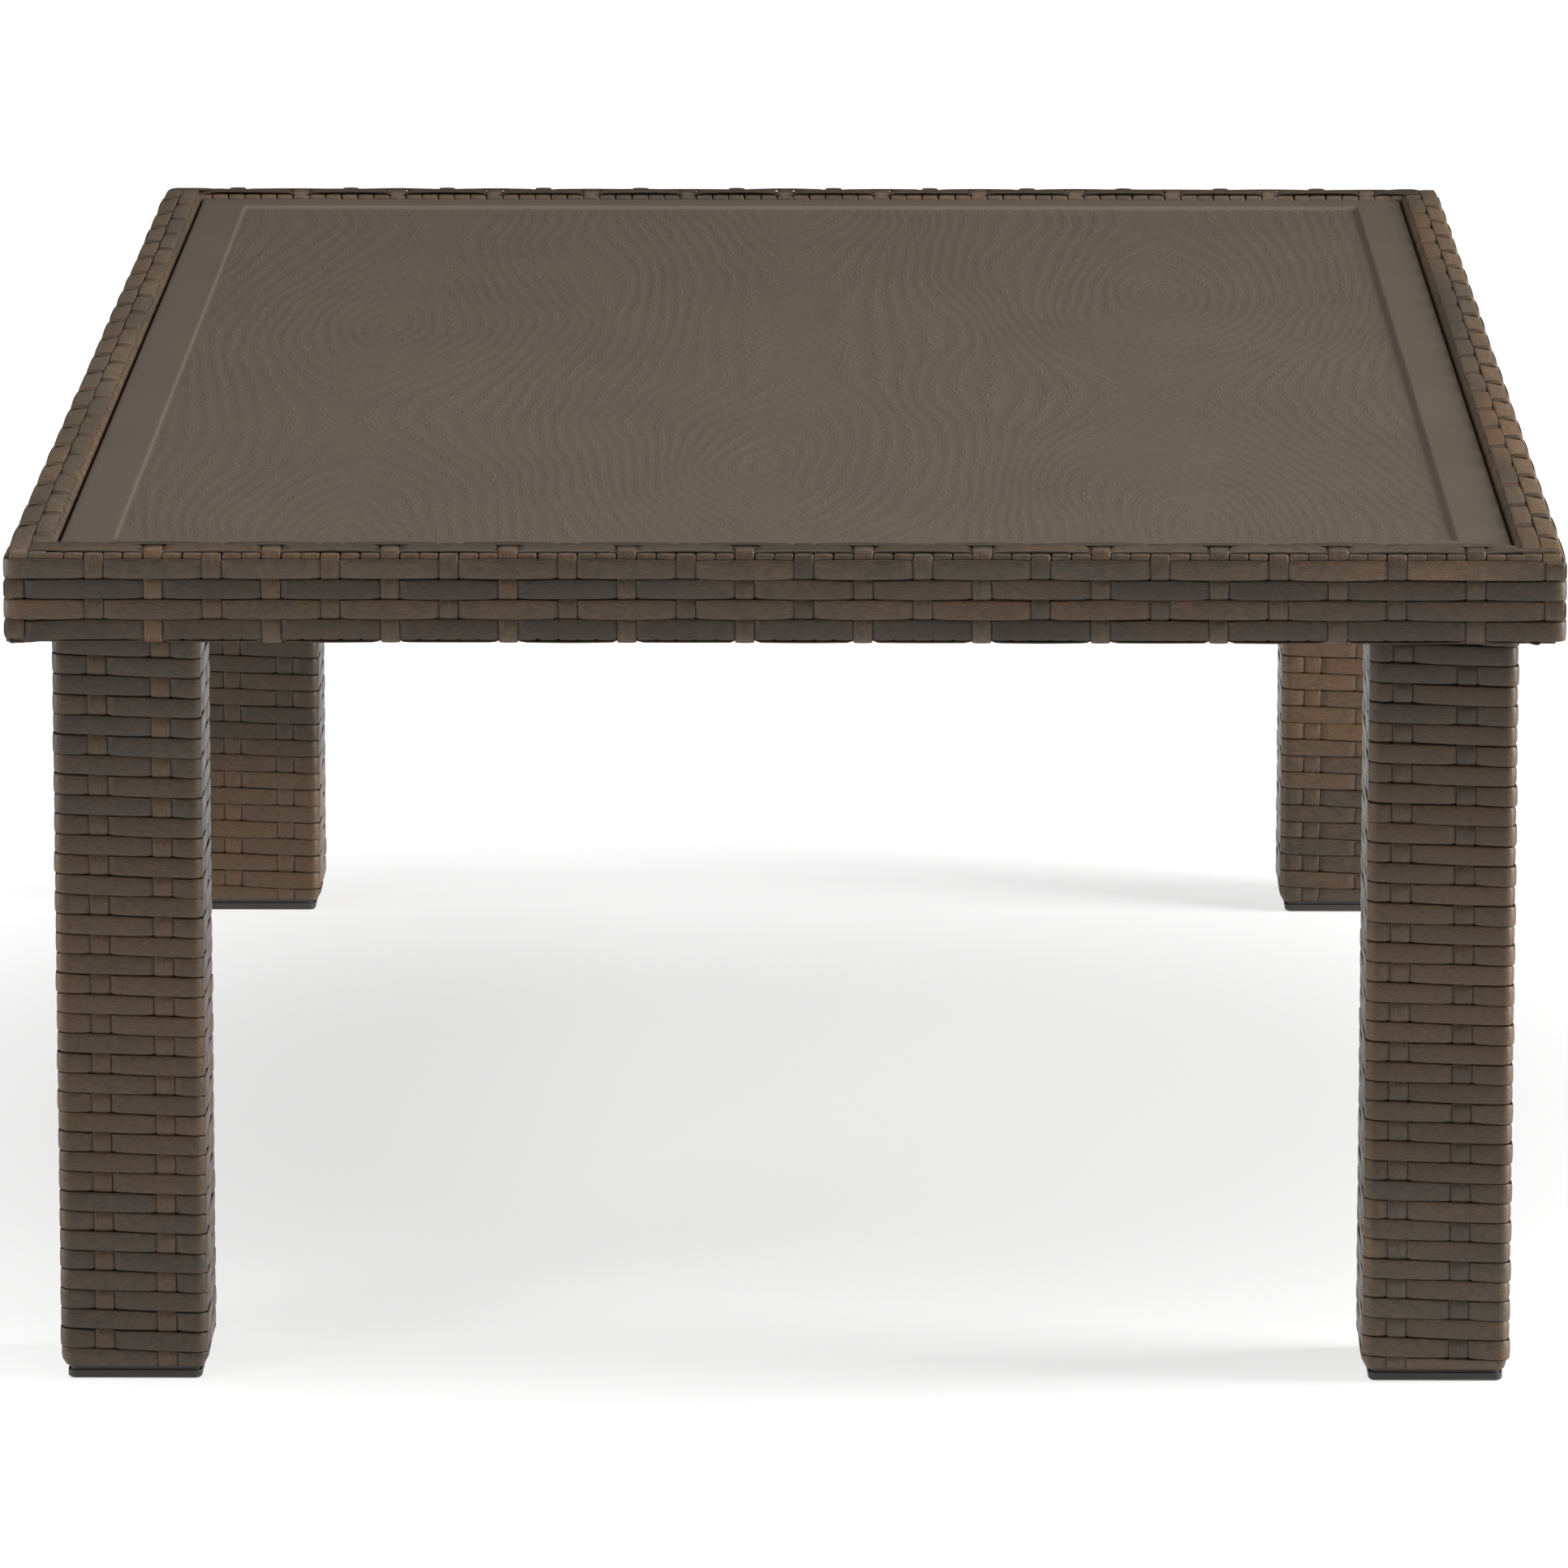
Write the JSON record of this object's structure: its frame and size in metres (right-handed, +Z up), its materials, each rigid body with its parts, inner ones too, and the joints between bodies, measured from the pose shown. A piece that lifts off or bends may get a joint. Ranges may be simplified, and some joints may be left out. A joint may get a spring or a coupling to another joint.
{
  "type": "wicker coffee table",
  "caption": "Low rectangular garden coffee table: woven resin strand over a steel frame, thick square legs, and a lift-out pressed top with a wood-grain field.",
  "frame": {"origin": "on the floor, at the centre of the table's footprint", "axes": "+Z up, +Y along the long side, +X along the short side; the table looks the same from both ends"},
  "size_m": [0.762, 1.22, 0.423],
  "materials": {
    "frame_paint": "satin dark brown powder coat on welded steel tube",
    "woven_strand": "flat resin strand, mottled grey-brown, fine lengthwise grain, semi-matt",
    "top_paint": "semi-matt grey-brown powder coat, smooth border and embossed wood-grain field",
    "top_underside_paint": "thin grey-brown powder coat on the underside",
    "foot_plastic": "moulded black plastic, fine texture",
    "zinc_steel": "zinc-plated",
    "pad_rubber": "soft black rubber"
  },
  "bodies": {
    "frame": {"rail_front": "frame_paint", "rail_rear": "frame_paint", "rail_left": "frame_paint", "rail_right": "frame_paint", "ledge_front": "frame_paint", "ledge_rear": "frame_paint", "ledge_left": "frame_paint", "ledge_right": "frame_paint", "cross_bar_front": "frame_paint", "cross_bar_middle": "frame_paint", "cross_bar_rear": "frame_paint", "gusset_front_left": "frame_paint", "gusset_front_right": "frame_paint", "gusset_rear_left": "frame_paint", "gusset_rear_right": "frame_paint", "leg_tube_front_left": "frame_paint", "leg_tube_front_right": "frame_paint", "leg_tube_rear_left": "frame_paint", "leg_tube_rear_right": "frame_paint", "leg_plate_front_left": "frame_paint", "leg_plate_front_right": "frame_paint", "leg_plate_rear_left": "frame_paint", "leg_plate_rear_right": "frame_paint", "rim_weave_front": "woven_strand", "rim_weave_rear": "woven_strand", "rim_weave_left": "woven_strand", "rim_weave_right": "woven_strand", "leg_weave_front_left": "woven_strand", "leg_weave_front_right": "woven_strand", "leg_weave_rear_left": "woven_strand", "leg_weave_rear_right": "woven_strand", "foot_cap_front_left": "foot_plastic", "foot_cap_front_right": "foot_plastic", "foot_cap_rear_left": "foot_plastic", "foot_cap_rear_right": "foot_plastic", "leg_washers": "zinc_steel", "leg_bolts": "zinc_steel", "ledge_pads": "pad_rubber", "cross_bar_pads": "pad_rubber"},
    "top": {"top_sheet": "top_paint", "stiffener_front": "top_underside_paint", "stiffener_middle": "top_underside_paint", "stiffener_rear": "top_underside_paint"}
  },
  "joints": [
    {"name": "top_lift", "type": "slide", "parent": "frame", "child": "top", "axis": [0, 0, 1], "range_m": [0, 0.1]}
  ]
}
